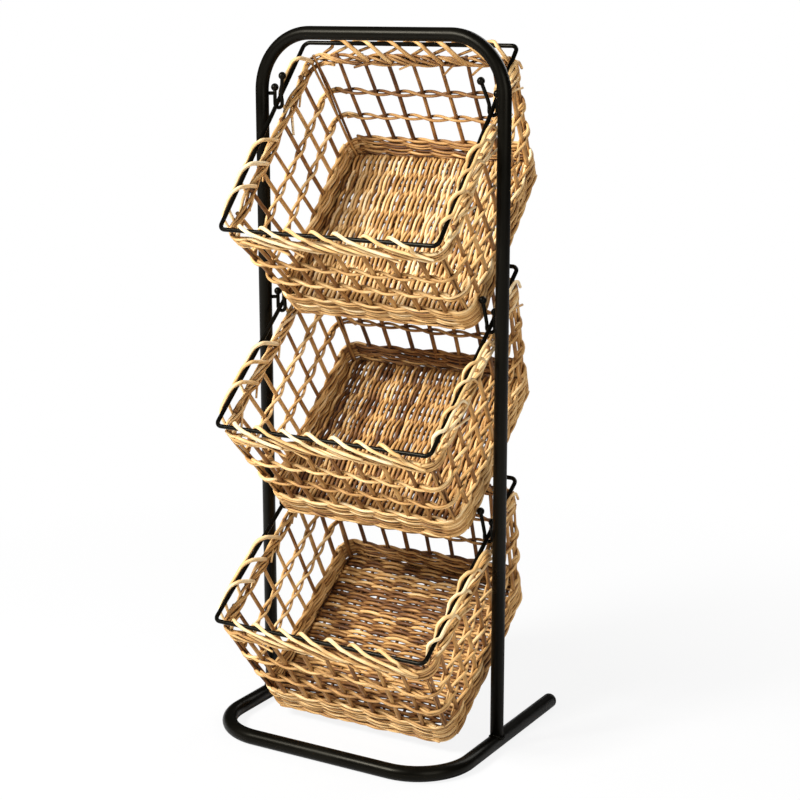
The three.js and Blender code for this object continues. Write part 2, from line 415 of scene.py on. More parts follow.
def smooth(points: Sequence[Vector], steps: int) -> list[Vector]:
    """Runs a Catmull-Rom curve through points.

    Args:
        points: The points to pass.
        steps: Steps between two points.

    Returns:
        Points along the curve.
    """
    ends = [2 * points[0] - points[1], *points, 2 * points[-1] - points[-2]]
    curve = []
    for a, b, c, d in zip(ends, ends[1:], ends[2:], ends[3:]):
        for k in range(steps):
            t = k / steps
            line = 2 * b + (c - a) * t
            square = (2 * a - 5 * b + 4 * c - d) * t * t
            cube = (3 * b - a - 3 * c + d) * t**3
            curve.append(0.5 * (line + square + cube))
    curve.append(points[-1].copy())
    return curve


def add_object(name: str, data: bpy.types.ID) -> bpy.types.Object:
    """Makes an object and puts it in the scene.

    Args:
        name: Name of the object.
        data: Its mesh, lamp or camera.

    Returns:
        The object.
    """
    made = bpy.data.objects.new(name, data)
    bpy.context.scene.collection.objects.link(made)
    return made


class Shape:
    """A mesh in the making, in millimetres in a frame of its own."""

    def __init__(self) -> None:
        """Starts an empty mesh with the layer that tells its rods apart."""
        self.bm = bmesh.new()
        self.layer = self.bm.verts.layers.float_color.new(ROD_LAYER)

    def rod(
        self,
        path: Sequence[Vector],
        radius: float,
        tone: float = 0.5,
        sides: int = 7,
        taper: float = 0.0,
        closed: bool = False,
    ) -> None:
        """Sweeps a round section along a path.

        The layer holds the rod's tone, the length along it in metres and the place round it.

        Args:
            path: Points along the rod.
            radius: Radius at its start.
            tone: Tone of the rod.
            sides: Sides of the section.
            taper: Share of the radius lost by the far end.
            closed: Whether the path ends where it starts.
        """
        count = len(path)
        normal = Vector(FIRST_NORMAL)
        rings: list[list[bmesh.types.BMVert]] = []
        length = 0.0
        for i, point in enumerate(path):
            if closed:
                tangent = path[(i + 1) % count] - path[i - 1]
            else:
                tangent = path[min(i + 1, count - 1)] - path[max(i - 1, 0)]
            tangent.normalize()
            normal = (normal - tangent * normal.dot(tangent)).normalized()
            other = tangent.cross(normal)
            size = radius * (1 - taper * i / (count - 1))
            if i:
                length += (point - path[i - 1]).length
            ring = []
            for k in range(sides):
                angle = 2 * math.pi * k / sides
                offset = normal * math.cos(angle) + other * math.sin(angle)
                vert = self.bm.verts.new(point + offset * size)
                vert[self.layer] = (tone, length * MM, 0.5 + 0.5 * math.cos(angle), 1.0)
                ring.append(vert)
            rings.append(ring)
        pairs = list(zip(rings, rings[1:]))
        if closed:
            pairs.append((rings[-1], rings[0]))
        for low, high in pairs:
            for k in range(sides):
                n = (k + 1) % sides
                self.bm.faces.new((low[k], low[n], high[n], high[k]))
        if not closed:
            self.bm.faces.new(list(reversed(rings[0])))
            self.bm.faces.new(rings[-1])

    def ball(self, centre: Vector, radius: float) -> None:
        """Adds a ball.

        Args:
            centre: Its middle.
            radius: Its radius.
        """
        made = bmesh.ops.create_uvsphere(
            self.bm,
            u_segments=20,
            v_segments=14,
            radius=radius,
            matrix=Matrix.Translation(centre),
        )
        for vert in made["verts"]:
            vert[self.layer] = (0.5, 0.0, 0.5, 1.0)

    def spin(self, profile: Sequence[tuple[float, float]], place: Vector) -> None:
        """Revolves a profile about an axis along +Y and closes its poles.

        Args:
            profile: Radius and distance along the axis, from the axis to the axis.
            place: Start of the axis.
        """
        verts = [self.bm.verts.new(place + Vector((r, y, 0))) for r, y in profile]
        edges = [self.bm.edges.new(pair) for pair in zip(verts, verts[1:])]
        bmesh.ops.spin(
            self.bm,
            geom=verts + edges,
            cent=place,
            axis=Vector((0, 1, 0)),
            angle=2 * math.pi,
            steps=32,
            use_merge=True,
        )
        bmesh.ops.remove_doubles(self.bm, verts=self.bm.verts, dist=0.01)

    def finish(
        self, name: str, body: Body, slot: Slot, material: bpy.types.Material, place: Matrix
    ) -> bpy.types.Object:
        """Makes the object, in metres in the part's frame.

        Args:
            name: Name of the piece.
            body: The body that it rides on.
            slot: The record's slot; not used.
            material: Its material.
            place: From the shape's own frame, in millimetres, to the part's.

        Returns:
            The finished object.
        """
        self.bm.transform(Matrix.Scale(MM, 4) @ place)
        bmesh.ops.recalc_face_normals(self.bm, faces=self.bm.faces)
        mesh = bpy.data.meshes.new(name)
        self.bm.to_mesh(mesh)
        self.bm.free()
        mesh.shade_smooth()
        mesh.materials.append(material)
        piece = add_object(name, mesh)
        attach(piece, body.value)
        log.info("%s made, %d faces", name, len(mesh.polygons))
        return piece


class Graph:
    """A small helper that adds and links shader nodes."""

    def __init__(self, tree: bpy.types.NodeTree) -> None:
        """Takes the node tree to work in."""
        self.tree = tree

    def fill(self, node: bpy.types.Node, values: dict[str, object]) -> None:
        """Sets a node's inputs by name."""
        for key, value in values.items():
            node.inputs[key].default_value = value

    def add(
        self, kind: str, values: dict[str, object] | None = None, **settings: object
    ) -> bpy.types.Node:
        """Adds a node.

        Args:
            kind: Type of the node.
            values: Its inputs by name.
            **settings: Its properties.

        Returns:
            The node.
        """
        node = self.tree.nodes.new(kind)
        for key, value in settings.items():
            setattr(node, key, value)
        self.fill(node, values or {})
        return node

    def link(self, start: bpy.types.NodeSocket, end: bpy.types.NodeSocket) -> None:
        """Links two sockets."""
        self.tree.links.new(start, end)

    def math(self, operation: str, a: Value, b: Value) -> bpy.types.NodeSocket:
        """Adds a math node.

        Args:
            operation: What it works out.
            a: First number or socket.
            b: Second number or socket.

        Returns:
            The result's socket.
        """
        node = self.add("ShaderNodeMath", operation=operation)
        for socket, value in zip(node.inputs, (a, b)):
            if isinstance(value, bpy.types.NodeSocket):
                self.link(value, socket)
            else:
                socket.default_value = value
        return node.outputs[0]

    def swing(self, value: bpy.types.NodeSocket, size: float) -> bpy.types.NodeSocket:
        """Turns a noise from 0 to 1 into a swing of a size about zero."""
        return self.math("MULTIPLY", self.math("SUBTRACT", value, 0.5), size)


def new_group(name: str, sockets: Sequence[tuple[str, str, str]]) -> bpy.types.NodeTree:
    """Starts a shader node group.

    Args:
        name: Name of the group.
        sockets: Name, direction and kind of each socket.

    Returns:
        The empty group.
    """
    group = bpy.data.node_groups.new(name, "ShaderNodeTree")
    for label, direction, kind in sockets:
        group.interface.new_socket(label, in_out=direction, socket_type=f"NodeSocket{kind}")
    return group


def skin(
    name: str, group: bpy.types.NodeTree, relief: dict[str, object], gloss: dict[str, object]
) -> tuple[bpy.types.Material, Graph, bpy.types.Node]:
    """Starts a material whose colour, roughness and relief come from a node group.

    Args:
        name: Name of the material.
        group: The node group.
        relief: Strength and distance of the bump.
        gloss: Plain values of the shader's other inputs.

    Returns:
        The material, its graph and the group's node in it.
    """
    material = bpy.data.materials.new(name)
    material.use_nodes = True
    g = Graph(material.node_tree)
    shader = material.node_tree.nodes["Principled BSDF"]
    g.fill(shader, gloss)
    place = g.add("ShaderNodeTexCoord")
    node = g.add("ShaderNodeGroup", node_tree=group)
    bump = g.add("ShaderNodeBump", relief)
    g.link(place.outputs["Object"], node.inputs["Position"])
    g.link(node.outputs["Height"], bump.inputs["Height"])
    g.link(node.outputs["Color"], shader.inputs["Base Color"])
    g.link(node.outputs["Roughness"], shader.inputs["Roughness"])
    g.link(bump.outputs[0], shader.inputs["Normal"])
    return material, g, node


def coat_group() -> bpy.types.NodeTree:
    """The coat of steel and caps: colour, roughness and height over the surface.

    Returns:
        The group, which each finish fills with its own colour and roughness.
    """
    group = new_group(
        "satin_coat",
        (
            ("Position", "INPUT", "Vector"),
            ("Color", "INPUT", "Color"),
            ("Roughness", "INPUT", "Float"),
            ("Color", "OUTPUT", "Color"),
            ("Roughness", "OUTPUT", "Float"),
            ("Height", "OUTPUT", "Float"),
        ),
    )
    g = Graph(group)
    source = g.add("NodeGroupInput")
    target = g.add("NodeGroupOutput")
    peel = g.add("ShaderNodeTexNoise", {"Scale": 900.0, "Detail": 2.0})
    rub = g.add("ShaderNodeTexNoise", {"Scale": 14.0, "Detail": 5.0})
    for texture in (peel, rub):
        g.link(source.outputs["Position"], texture.inputs["Vector"])
    rubbed = {"From Min": 0.35, "From Max": 0.75, "To Min": 1.0, "To Max": 1.9}
    lighter = g.add("ShaderNodeMapRange", rubbed)
    g.link(rub.outputs[0], lighter.inputs["Value"])
    color = g.add("ShaderNodeVectorMath", operation="SCALE")
    g.link(source.outputs["Color"], color.inputs[0])
    g.link(lighter.outputs[0], color.inputs["Scale"])
    rough = g.math("ADD", g.swing(rub.outputs[0], size=0.25), source.outputs["Roughness"])
    g.link(color.outputs[0], target.inputs["Color"])
    g.link(rough, target.inputs["Roughness"])
    g.link(peel.outputs[0], target.inputs["Height"])
    return group


@dataclass(frozen=True)
class WillowMaterial:
    """Peeled willow: a tone for each rod, streaks along it, darker patches, painted shade between
    rods and a soft sheen.

    Attributes:
        finish: Colours and roughness of the willow.
    """

    finish: WillowFinish

    def bark_group(self) -> bpy.types.NodeTree:
        """The skin of a rod: colour, roughness and height from its tone and its length, with
        painted shade where other rods hide it.

        Returns:
            The group.
        """
        group = new_group(
            "willow_bark",
            (
                ("Rod", "INPUT", "Color"),
                ("Position", "INPUT", "Vector"),
                ("Openness", "INPUT", "Float"),
                ("Color", "OUTPUT", "Color"),
                ("Roughness", "OUTPUT", "Float"),
                ("Height", "OUTPUT", "Float"),
            ),
        )
        g = Graph(group)
        source = g.add("NodeGroupInput")
        target = g.add("NodeGroupOutput")
        parts = g.add("ShaderNodeSeparateColor")
        g.link(source.outputs["Rod"], parts.inputs[0])
        tone, along, round_rod = parts.outputs

        # Grain is long along the rod, fine round it and different on each rod
        grain_place = g.add("ShaderNodeCombineXYZ")
        stretch = ((along, 22.0), (round_rod, 5.0), (tone, 173.0))
        for socket, (value, scale) in zip(grain_place.inputs, stretch):
            g.link(g.math("MULTIPLY", value, scale), socket)
        grain = g.add("ShaderNodeTexNoise", {"Scale": 1.6, "Detail": 4.0, "Roughness": 0.62})
        g.link(grain_place.outputs[0], grain.inputs["Vector"])
        patches = g.add("ShaderNodeTexNoise", {"Scale": 26.0, "Detail": 2.0})
        g.link(source.outputs["Position"], patches.inputs["Vector"])

        streak = g.swing(grain.outputs[0], self.finish.streak)
        patch = g.swing(patches.outputs[0], self.finish.patch)
        # Painted shade: the tone drops where other rods hide a point, most deeply in the gaps
        # between rods
        hidden = g.math("SUBTRACT", 1.0, source.outputs["Openness"])
        painted_shade = g.math("MULTIPLY", hidden, -self.finish.painted_crevice_shade)
        shade = g.math("ADD", g.math("ADD", tone, painted_shade), g.math("ADD", streak, patch))
        ramp = g.add("ShaderNodeValToRGB")
        elements = ramp.color_ramp.elements
        while len(elements) < len(self.finish.stops):
            elements.new(0.5)
        for element, (place, color) in zip(elements, self.finish.stops):
            element.position = place
            element.color = (*color, 1.0)
        g.link(shade, ramp.inputs[0])
        g.link(ramp.outputs[0], target.inputs["Color"])
        gloss = g.math("MULTIPLY", streak, self.finish.streak_gloss)
        rough = g.math("ADD", self.finish.roughness, gloss)
        g.link(rough, target.inputs["Roughness"])
        g.link(grain.outputs[0], target.inputs["Height"])
        return group

    def build(self) -> bpy.types.Material:
        """Makes the material.

        Returns:
            The material.
        """
        finish = self.finish
        relief = {"Strength": finish.bump, "Distance": finish.bump_depth}
        gloss = {
            "Specular IOR Level": finish.specular,
            "Coat Weight": finish.coat,
            "Coat Roughness": finish.coat_roughness,
        }
        material, g, bark = skin(finish.name, self.bark_group(), relief, gloss)
        rod = g.add("ShaderNodeAttribute", attribute_name=ROD_LAYER)
        g.link(rod.outputs["Color"], bark.inputs["Rod"])
        # Ambient occlusion drives the painted shade between rods
        reach = {"Distance": finish.crevice_reach}
        crevice = g.add("ShaderNodeAmbientOcclusion", reach, samples=4)
        g.link(crevice.outputs["AO"], bark.inputs["Openness"])
        return material


@dataclass(frozen=True)
class SteelMaterial:
    """A satin coat with a fine orange peel and a little rub.

    Attributes:
        finish: Colour, roughness and grain of the coat.
        coat: The node group that all such coats share.
    """

    finish: SteelFinish
    coat: bpy.types.NodeTree

    def build(self) -> bpy.types.Material:
        """Makes the material.

        Returns:
            The material.
        """
        finish = self.finish
        relief = {"Strength": finish.grain, "Distance": finish.peel_depth}
        gloss = {"Specular IOR Level": finish.specular, "Specular Tint": (*finish.tint, 1.0)}
        material, g, coat = skin(finish.name, self.coat, relief, gloss)
        g.fill(coat, {"Color": (*finish.color, 1.0), "Roughness": finish.roughness})
        return material


@dataclass
class Rack:
    """The steel frame: base, uprights, caps and hooks.

    Attributes:
        steel: The powder coat.
        caps: The plastic of the end caps.
        plane: Y of the uprights in the part's frame.
        width: Width between the uprights' middle lines.
        height: Height of the top bar's middle line.
        upright_r: Radius of the uprights.
        base_r: Radius of the base tube.
        bend_r: Radius of the tubes' bends.
        base_front: The front bar's distance before the uprights.
        base_rear: The legs' length behind the uprights.
        cap_skirt: Length of a cap's straight part.
        cap_dome: Length of its dome.
        cap_gap: Gap between a cap and its leg.
        bead_r: Radius of the weld beads.
    """

    steel: bpy.types.Material
    caps: bpy.types.Material
    plane: float
    width: float = 509.0
    height: float = 1311.0
    upright_r: float = 12.5
    base_r: float = 14.3
    bend_r: float = 107.0
    base_front: float = 218.0
    base_rear: float = 222.0
    cap_skirt: float = 4.0
    cap_dome: float = 11.0
    cap_gap: float = 0.3
    bead_r: float = 1.9

    def done(self, shape: Shape, name: str, node: str, slot: Slot = Slot.STEEL) -> None:
        """Finishes a piece of the frame.

        Args:
            shape: Its mesh.
            name: Its name.
            node: The node that it stands for.
            slot: The record's slot that it takes its finish from.
        """
        material = self.steel if slot is Slot.STEEL else self.caps
        place = Matrix.Translation((0, self.plane, 0))
        piece = shape.finish(name, Body.FRAME, slot, material, place)
        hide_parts(node)

    def bead(self, side: int) -> list[Vector]:
        """The weld bead where an upright's foot stands on the base tube.

        Args:
            side: -1 for left, 1 for right.

        Returns:
            Points round the foot.
        """
        steps, gap, rise = 40, 0.7, 0.4
        ripples, ripple = 7, 0.25
        points = []
        for k in range(steps):
            angle = 2 * math.pi * k / steps
            reach = self.upright_r + gap + ripple * math.sin(ripples * angle)
            across = reach * math.cos(angle)
            top = self.base_r + math.sqrt(max(self.base_r**2 - across**2, 0.0))
            x = side * self.width / 2 + across
            points.append(Vector((x, reach * math.sin(angle), top + rise)))
        return points

    def base(self) -> None:
        """The tube that lies on the floor, with the weld beads of the uprights' feet."""
        x, z = self.width / 2, self.base_r
        corners = [
            Vector((x, self.base_rear, z)),
            Vector((x, -self.base_front, z)),
            Vector((-x, -self.base_front, z)),
            Vector((-x, self.base_rear, z)),
        ]
        shape = Shape()
        shape.rod(bend(corners, self.bend_r, TUBE_STEPS), self.base_r, sides=TUBE_SIDES)
        for _, side in SIDES:
            shape.rod(self.bead(side), self.bead_r, sides=8, closed=True)
        self.done(shape, "base", "base_tube")

    def uprights(self) -> None:
        """The tube that makes both uprights and the top bar."""
        x = self.width / 2
        foot = 1.6 * self.base_r
        corners = [
            Vector((-x, 0, foot)),
            Vector((-x, 0, self.height)),
            Vector((x, 0, self.height)),
            Vector((x, 0, foot)),
        ]
        shape = Shape()
        shape.rod(bend(corners, self.bend_r, TUBE_STEPS), self.upright_r, sides=TUBE_SIDES)
        self.done(shape, "uprights", "upright_tube")

    def leg_caps(self) -> None:
        """The domed caps in the ends of the legs."""
        steps = 8
        radius = self.base_r
        profile = [(0.0, 0.0), (radius - 0.5, 0.0), (radius, 0.8), (radius, self.cap_skirt - 0.6)]
        for k in range(steps):
            angle = k * math.pi / (2 * steps)
            dome = self.cap_dome * math.sin(angle)
            profile.append((radius * math.cos(angle), self.cap_skirt + dome))
        profile.append((0.0, self.cap_skirt + self.cap_dome))
        for name, side in SIDES:
            shape = Shape()
            place = Vector((side * self.width / 2, self.base_rear + self.cap_gap, self.base_r))
            shape.spin(profile, place)
            self.done(shape, f"cap_{name}", f"leg_cap_{name}", Slot.CAPS)

    def hooks(self, plan: BasketPlan, seat: float) -> None:
        """A basket's two hooks: a bent rod with a ball on each end, on a short peg.

        Args:
            plan: The basket.
            seat: Height of the hooks' low bend, at its centre line.
        """
        half, rod_r = HOOK.half, HOOK.rod_r
        middle = RIM.width / 2
        steps = 12
        route = [Vector((half, 0, HOOK.short + rod_r))]
        for k in range(steps + 1):
            angle = k * math.pi / steps
            route.append(Vector((half * math.cos(angle), 0, half - half * math.sin(angle))))
        # The inner end goes straight up a little way and then leans to its ball
        route += [
            Vector((-half, 0, half + 6)),
            Vector((-half - 0.4, -2.5, half + 16)),
            Vector((-plan.lean, -HOOK.lean_front, HOOK.tall + rod_r)),
        ]
        peg = seat + rod_r + HOOK.peg_height
        for name, side in SIDES:
            turn = [Vector((side * (middle + p.x), HOOK.behind + p.y, seat + p.z)) for p in route]
            shape = Shape()
            shape.rod(smooth(turn, steps=3), rod_r, sides=HOOK.sides)
            shape.ball(turn[0], HOOK.ball_r)
            shape.ball(turn[-1], HOOK.ball_r)
            start = Vector((side * (middle + half), HOOK.behind, peg))
            wall = Vector((side * self.width / 2, 0, peg))
            inward = (start - wall).normalized()
            shape.rod([start, wall + inward * (self.upright_r - 1)], rod_r, sides=HOOK.sides)
            self.done(shape, f"{plan.name}_hook_{name}_rod", f"{plan.name}_hook_{name}")


@dataclass
class Basket:
    """A willow basket on its wire rim.

    Attributes:
        plan: Its place and weave.
        pivot: The point that it swings about, in the part's frame.
        steel: The rim wire's coat.
        willow: The willow.
        depth: Depth from the rim to the foot.
        floor_width: Width at the foot.
        floor_depth: Front to back at the foot.
        floor_shift: Middle of the foot from the middle of the rim, to the front if negative.
        floor_rise: Height of the floor over the foot.
        stake_count: Stakes in a wall.
        rows: Places of the twisted rows, as shares of the slope.
        border_drop: Distance of the border under the rim.
        band_top: Top of the dense band, as a share of the slope.
        band_courses: Courses in the dense band.
        corner_round: Radius of the weave at the corners.
        corner_cut: Distance of the walls' rods from the corners.
        painted_back_shade: Painted shade added to the tone of the back wall, for the shade on its
            inner side.
    """

    plan: BasketPlan
    pivot: Vector
    steel: bpy.types.Material
    willow: bpy.types.Material
    depth: float = 261.0
    floor_width: float = 397.0
    floor_depth: float = 360.0
    floor_shift: float = -38.0
    floor_rise: float = 16.0
    stake_count: int = 7
    rows: tuple[float, ...] = (0.4, 0.61)
    border_drop: float = 34.0
    band_top: float = 0.8
    band_courses: int = 7
    corner_round: float = 28.0
    corner_cut: float = 21.0
    painted_back_shade: float = -0.22

    def __post_init__(self) -> None:
        """Sets the basket's frame and its own seeded variation."""
        self.dice = random.Random(self.plan.seed)
        tilt = Matrix.Rotation(math.radians(self.plan.tilt), 4, "X")
        seat_angle, clearance = math.pi / 6, 0.3
        ride = (HOOK.rod_r + RIM.wire_r) / math.cos(seat_angle) + clearance
        middle = tilt @ Vector((0, -self.plan.setback, ride))
        self.place = Matrix.Translation(self.pivot + middle) @ tilt

    def walls(self) -> tuple[WallPlan, ...]:
        """The four walls.

        Returns:
            Their plans, from the front anticlockwise seen from above.
        """
        front = self.floor_shift - self.floor_depth / 2
        back = self.floor_shift + self.floor_depth / 2
        half = self.floor_width / 2
        side_in = (RIM.width - self.floor_width) / 2
        deep, wide, depth = RIM.depth / 2, RIM.width / 2, self.depth
        shade = self.painted_back_shade
        return (
            WallPlan("front", 0, deep, wide, (-half, half), deep + front, depth),
            WallPlan("right", 1, wide, deep, (front, back), side_in, depth),
            # The back wall takes painted shade, darker for the shade on its inner side
            WallPlan("back", 2, deep, wide, (-half, half), deep - back, depth, shade),
            WallPlan("left", 3, wide, deep, (-back, -front), side_in, depth),
        )

    def thickness(self, style: RodStyle) -> float:
        """Draws the radius of a rod."""
        return self.dice.uniform(style.thin, style.thick)

    def tone(self, style: RodStyle, shade: float = 0.0) -> float:
        """Draws the tone of a rod and adds a shade to it."""
        return style.tone + self.plan.shade + shade + self.dice.uniform(-style.spread, style.spread)

    def lay(
        self, shape: Shape, path: Sequence[Vector], style: RodStyle, shade: float = 0.0
    ) -> None:
        """Adds a rod along a path, with a radius and a tone drawn from its style."""
        radius = self.thickness(style)
        shape.rod(path, radius, self.tone(style, shade), taper=style.taper)

    def sway(self, size: float) -> Callable[[float], float]:
        """A slow wander that keeps a rod from being quite straight.

        Args:
            size: Its size.

        Returns:
            The wander at a distance along the rod.
        """
        a, b = self.dice.uniform(0, WAVE_START), self.dice.uniform(0, WAVE_START)
        p, q = self.dice.uniform(*LONG_WAVE), self.dice.uniform(*SHORT_WAVE)
        return lambda t: size * (0.7 * math.sin(t / p + a) + 0.3 * math.sin(t / q + b))

    def done(self, shape: Shape, name: str, node: str, slot: Slot = Slot.WILLOW) -> None:
        """Finishes a piece of the basket.

        Args:
            shape: Its mesh.
            name: Its name, without the basket's.
            node: The node that it stands for, without the basket's name.
            slot: The record's slot that it takes its finish from.
        """
        material = self.steel if slot is Slot.STEEL else self.willow
        label = f"{self.plan.name}_{name}"
        piece = shape.finish(label, self.plan.body, slot, material, self.place)
        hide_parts(f"{self.plan.name}_{node}")

    def rim(self) -> None:
        """The rim wire, bent to a rectangle, whose ends meet in the middle of the back."""
        x, y = RIM.width / 2, RIM.depth / 2
        corners = [
            Vector((0, y, 0)),
            Vector((x, y, 0)),
            Vector((x, -y, 0)),
            Vector((-x, -y, 0)),
            Vector((-x, y, 0)),
            Vector((-0.2, y, 0)),
        ]
        shape = Shape()
        shape.rod(bend(corners, RIM.corner_r, steps=10), RIM.wire_r, sides=RIM.sides)
        self.done(shape, "rim", "rim_wire", Slot.STEEL)

    def stakes(self, shape: Shape, wall: WallPlan) -> None:
        """The uprights of a wall, from the band to the border.

        Args:
            shape: The wall's mesh.
            wall: The wall.
        """
        steps, start, short = 16, 24, 30
        uneven, slant = 0.008, 5
        bow, bow_length = 0.8, 31
        for k in range(1, self.stake_count + 1):
            share = k / (self.stake_count + 1) + self.dice.uniform(-uneven, uneven)
            lean = self.dice.uniform(-slant, slant)
            wander = self.sway(STAKE.wander)
            path = []
            for i in range(steps + 1):
                down = start + (wall.slope - short) * i / steps
                along = wall.across(share, down) + wander(down) + lean * (0.5 - i / steps)
                path.append(wall.point(along, down, bow * math.sin(down / bow_length + k)))
            self.lay(shape, path, STAKE, wall.shade)

    def pairs(self, shape: Shape, wall: WallPlan, down: float) -> None:
        """A fitched row: two weavers that twist round each stake.

        Args:
            shape: The wall's mesh.
            wall: The wall.
            down: Place of the row down the slope.
        """
        reach, twist, droop_size = 5.4, 3.4, 2.2
        left, right = wall.end(0, down), wall.end(1, down)
        pitch = (right - left) / (self.stake_count + 1)
        cut = self.corner_cut
        places = spaced(left + cut, right - cut, steps=10 * (self.stake_count + 1))
        droop = self.sway(droop_size)
        for strand in (0, 1):
            wander = self.sway(ROW.wander)
            path = []
            for along in places:
                turn = math.pi * (along - left) / pitch + strand * math.pi
                depth = down + droop(along) + twist * math.sin(turn) + 0.5 * wander(along)
                path.append(wall.point(along, depth, reach * math.cos(turn)))
            self.lay(shape, path, ROW, wall.shade)

    def band(self, shape: Shape, wall: WallPlan) -> None:
        """The dense band: courses of weavers packed in and out of the stakes.

        Args:
            shape: The wall's mesh.
            wall: The wall.
        """
        reach, twist, height_size = 4.0, 2.0, 2.4
        foot_gap, first, most_slip = 4, 0.3, 0.5
        top = self.band_top * wall.slope
        for course in range(self.band_courses):
            down = top + (wall.slope - foot_gap - top) * (course + first) / self.band_courses
            left, right = wall.end(0, down), wall.end(1, down)
            pitch = (right - left) / (self.stake_count + 1)
            cut = self.corner_cut
            places = spaced(left + cut, right - cut, steps=9 * (self.stake_count + 1))
            height, slip = self.sway(height_size), self.dice.uniform(-most_slip, most_slip)
            for strand, style in enumerate(COURSE):
                wander = self.sway(style.wander)
                path = []
                for along in places:
                    turn = math.pi * (along - left) / pitch + (course + strand) * math.pi + slip
                    lift = twist * math.sin(turn)
                    out = reach * math.cos(turn) + wander(along)
                    path.append(wall.point(along, down + height(along) + lift, out))
                tone = self.tone(style, wall.shade)
                shape.rod(path, self.thickness(style), tone, taper=style.taper)

    def foot(self, shape: Shape, wall: WallPlan) -> None:
        """The rolled edge that the basket would stand on.

        Args:
            shape: The wall's mesh.
            wall: The wall.
        """
        strands, apart, twist_length = 3, 2.1, 17
        rise, step = 7.5, 1.2
        proud, reach, twist = 1.6, 3.2, 2.4
        for strand in range(strands):
            wander = self.sway(FOOT.wander)
            down = wall.slope - rise + step * strand
            left, right = wall.end(0, down) + self.corner_cut, wall.end(1, down) - self.corner_cut
            path = []
            for along in spaced(left, right, steps=60):
                turn = along / twist_length + strand * apart
                out = proud + reach * math.cos(turn)
                path.append(wall.point(along, down + twist * math.sin(turn) + wander(along), out))
            self.lay(shape, path, FOOT, wall.shade)

    def border(self, shape: Shape, wall: WallPlan) -> None:
        """The rolled border under the rim wire: rods that twist together along the wall.

        Args:
            shape: The wall's mesh.
            wall: The wall.
        """
        strands, apart = 6, 1.05
        reach, twist, drift_size = 5.2, 8.5, 2.0
        trim, twist_lengths = (-4, 12), (22, 31)
        drop, cut = self.border_drop, self.corner_cut
        for strand in range(strands):
            wander, drift = self.sway(BORDER.wander), self.sway(drift_size)
            left = wall.end(0, drop) + cut + self.dice.uniform(*trim)
            right = wall.end(1, drop) - cut - self.dice.uniform(*trim)
            twist_length = self.dice.uniform(*twist_lengths)
            path = []
            for along in spaced(left, right, steps=70):
                turn = along / twist_length + strand * apart + wall.turn
                out = reach * math.cos(turn) + 0.5 * drift(along)
                down = drop + 1 + twist * math.sin(turn) + wander(along)
                path.append(wall.point(along, down, out))
            self.lay(shape, path, BORDER, wall.shade)

    def wraps(self, shape: Shape, wall: WallPlan) -> None:
        """Stake ends that come up inside, lie over the rim wire and run on along the border.

        On the side walls they leave room for the hook and stay by the wire for longer.

        Args:
            shape: The wall's mesh.
            wall: The wall.
        """
        count, first, short, end_gap = 7, 50, 130, 20
        before_hook, behind_hook, hook_gap = -48, 62, 12
        uneven, runs, drops = 5, (78, 104), (-5, 3)
        hook = {1: self.plan.setback, 3: -self.plan.setback}.get(wall.turn)
        slant = 16 if hook is None else 11
        for k in range(count):
            spot = -wall.top + first + (2 * wall.top - short) * k / (count - 1)
            spot += self.dice.uniform(-uneven, uneven)
            thick = self.thickness(WRAP)
            run = min(self.dice.uniform(*runs), wall.top - end_gap - spot)
            low = self.border_drop + self.dice.uniform(*drops)
            tone = self.tone(WRAP, wall.shade)
            if hook is not None and before_hook < spot - hook < behind_hook:
                continue
            if hook is not None and spot < hook:
                run = min(run, hook - hook_gap - spot)
            reach = RIM.wire_r + thick
            side = RIM.wire_r + 0.8 * thick
            lead = min(34 + slant, spot + wall.top - end_gap)
            marks = [
                (-lead, low + 2, -5),
                (-0.8 * lead, low * 0.66, -reach - 0.6),
                (-0.56 * lead, low * 0.25, -reach - 0.2),
                (-0.32 * lead, -reach * 0.42, -reach * 0.9),
                (0, -reach, 0),
                (slant, -side * 0.5, side * 0.87),
            ]
            if hook is None:
                marks += [
                    (28, 2.0, side),
                    (0.5 * run, low * 0.42, side + 0.4),
                    (0.8 * run, low * 0.8, side + 0.4),
                ]
            else:
                marks += [
                    (0.42 * run, -side * 0.42, side * 0.9),
                    (0.7 * run, -side * 0.1, side),
                    (0.88 * run, low * 0.3, side + 0.4),
                ]
            marks.append((run, low + 2, 5))
            points = [wall.point(spot + along, down, out) for along, down, out in marks]
            shape.rod(smooth(points, steps=4), thick, tone, sides=8, taper=WRAP.taper)

    def loose_ends(self, shape: Shape, wall: WallPlan) -> None:
        """Short ends of border rods that stand off the wall, as in hand work.

        Args:
            shape: The wall's mesh.
            wall: The wall.
        """
        count, corner_gap = 6, 50
        places, lengths, falls, stands = (0.2, 0.8), (26, 52), (6, 26), (8, 10.5)
        drop = self.border_drop
        for k in range(count):
            spot = (2 * (k + self.dice.uniform(*places)) / count - 1) * (wall.top - corner_gap)
            length, fall = self.dice.uniform(*lengths), self.dice.uniform(*falls)
            face = self.dice.choice((-1, 1))
            stand = face * self.dice.uniform(*stands)
            marks = [
                wall.point(spot, drop + 2, face * 2),
                wall.point(spot + 0.45 * length, drop + 3 + 0.35 * fall, face * 6),
                wall.point(spot + length, drop + 4 + fall, stand),
            ]
            self.lay(shape, smooth(marks, steps=5), LOOSE_END, wall.shade)

    def wall(self, plan: WallPlan) -> None:
        """One open wall.

        Args:
            plan: The wall.
        """
        shape = Shape()
        self.stakes(shape, plan)
        for row in self.rows:
            self.pairs(shape, plan, row * plan.slope)
        self.band(shape, plan)
        self.foot(shape, plan)
        self.border(shape, plan)
        self.wraps(shape, plan)
        self.loose_ends(shape, plan)
        self.done(shape, f"wall_{plan.name}_willow", f"wall_{plan.name}")

